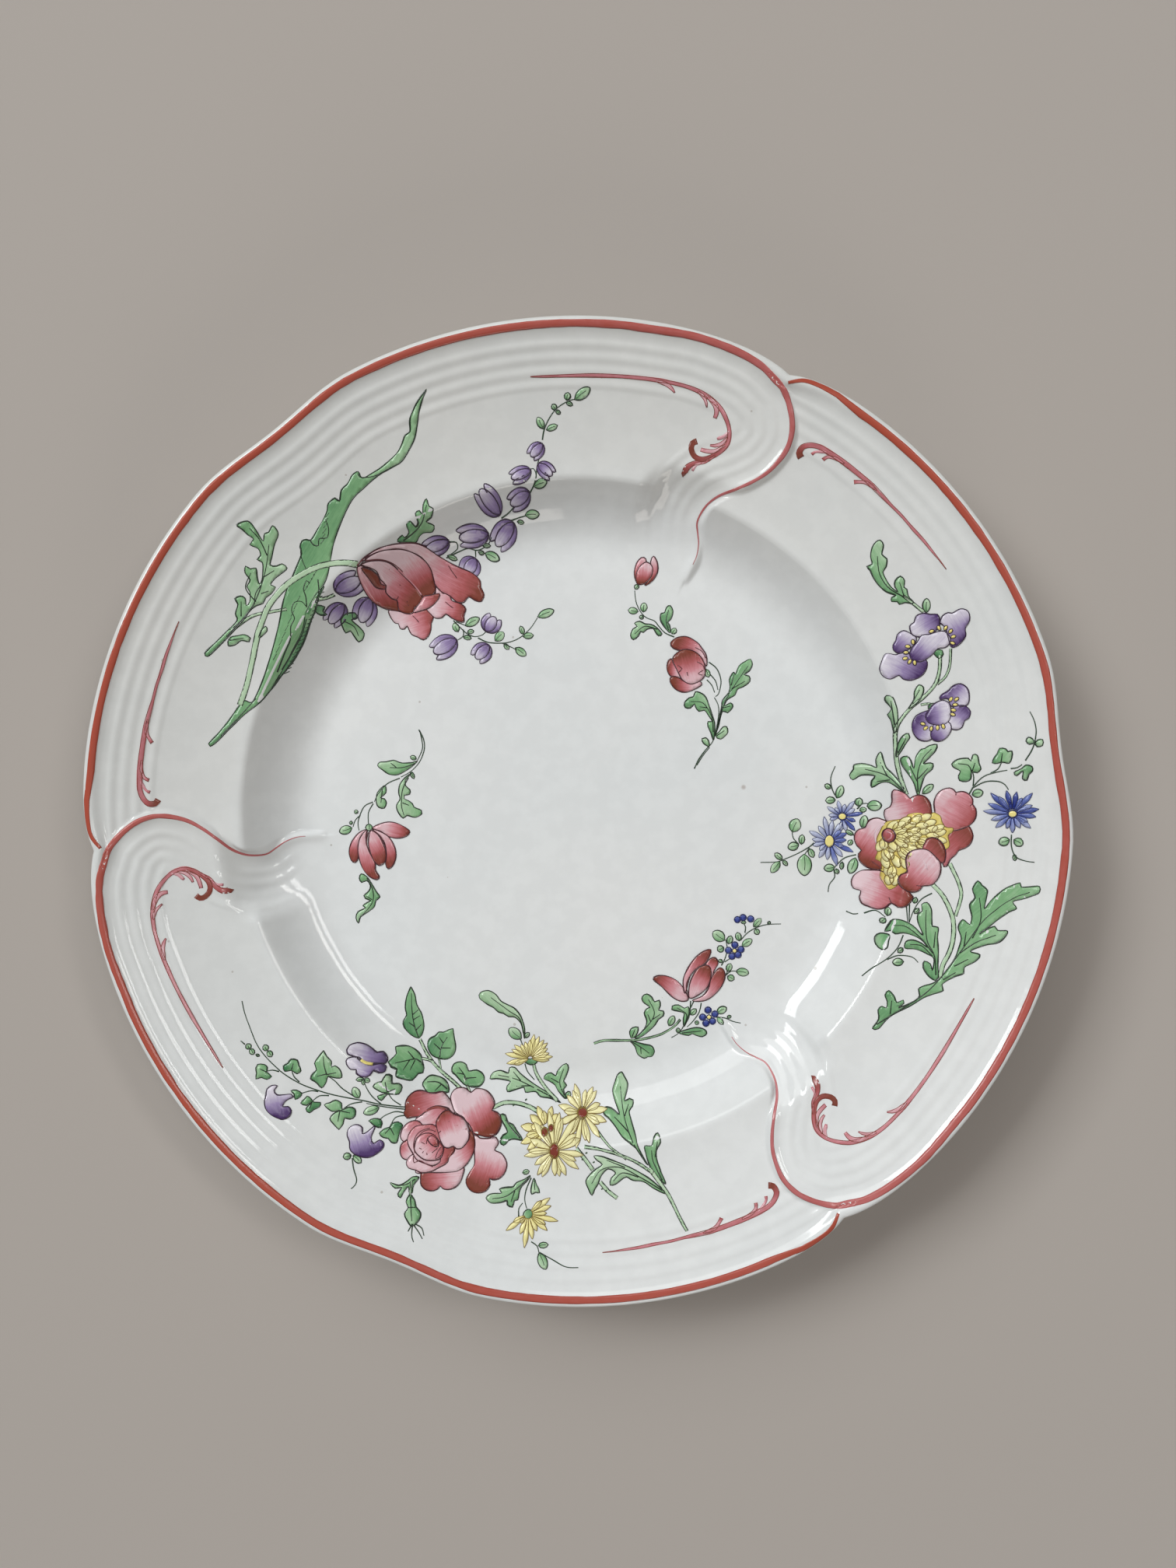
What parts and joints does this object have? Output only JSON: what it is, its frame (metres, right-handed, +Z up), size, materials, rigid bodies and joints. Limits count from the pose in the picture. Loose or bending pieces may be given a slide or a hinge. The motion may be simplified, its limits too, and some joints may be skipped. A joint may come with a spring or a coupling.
{
  "type": "serving platter",
  "caption": "Round, shallow faience serving platter with a flat well, a scrolled and ribbed rim, a crimson painted edge and painted flower sprays.",
  "frame": {"origin": "middle of the foot ring, in the plane it stands on", "axes": "+Z up out of the well, at right angles to the plane of the foot ring; +Y towards the top of the painted design, +X to its right"},
  "size_m": [0.3667, 0.3682, 0.041],
  "materials": {
    "clay": "matte",
    "glaze": "gloss",
    "crimson_enamel": "gloss",
    "green_enamel": "gloss",
    "violet_enamel": "gloss",
    "yellow_enamel": "gloss",
    "blue_enamel": "gloss"
  },
  "bodies": {
    "root": {"clay_body": "clay", "foot_ring": "clay", "face_glaze": "glaze", "back_glaze": "glaze", "edge_line_upper": "crimson_enamel", "edge_line_right": "crimson_enamel", "edge_line_lower": "crimson_enamel", "long_scroll_upper": "crimson_enamel", "long_scroll_right": "crimson_enamel", "long_scroll_lower": "crimson_enamel", "short_scroll_upper": "crimson_enamel", "short_scroll_right": "crimson_enamel", "short_scroll_lower": "crimson_enamel", "tulip_bloom": "crimson_enamel", "tulip_bells": "violet_enamel", "tulip_leaves": "green_enamel", "anemone_bloom": "crimson_enamel", "anemone_stamens": "yellow_enamel", "anemone_violets": "violet_enamel", "anemone_asters": "blue_enamel", "anemone_leaves": "green_enamel", "rose_bloom": "crimson_enamel", "rose_daisies": "yellow_enamel", "rose_bindweed": "violet_enamel", "rose_leaves": "green_enamel", "left_sprig_bloom": "crimson_enamel", "left_sprig_leaves": "green_enamel", "top_sprig_bloom": "crimson_enamel", "top_sprig_leaves": "green_enamel", "low_sprig_bloom": "crimson_enamel", "low_sprig_berries": "blue_enamel", "low_sprig_leaves": "green_enamel"}
  },
  "joints": []
}
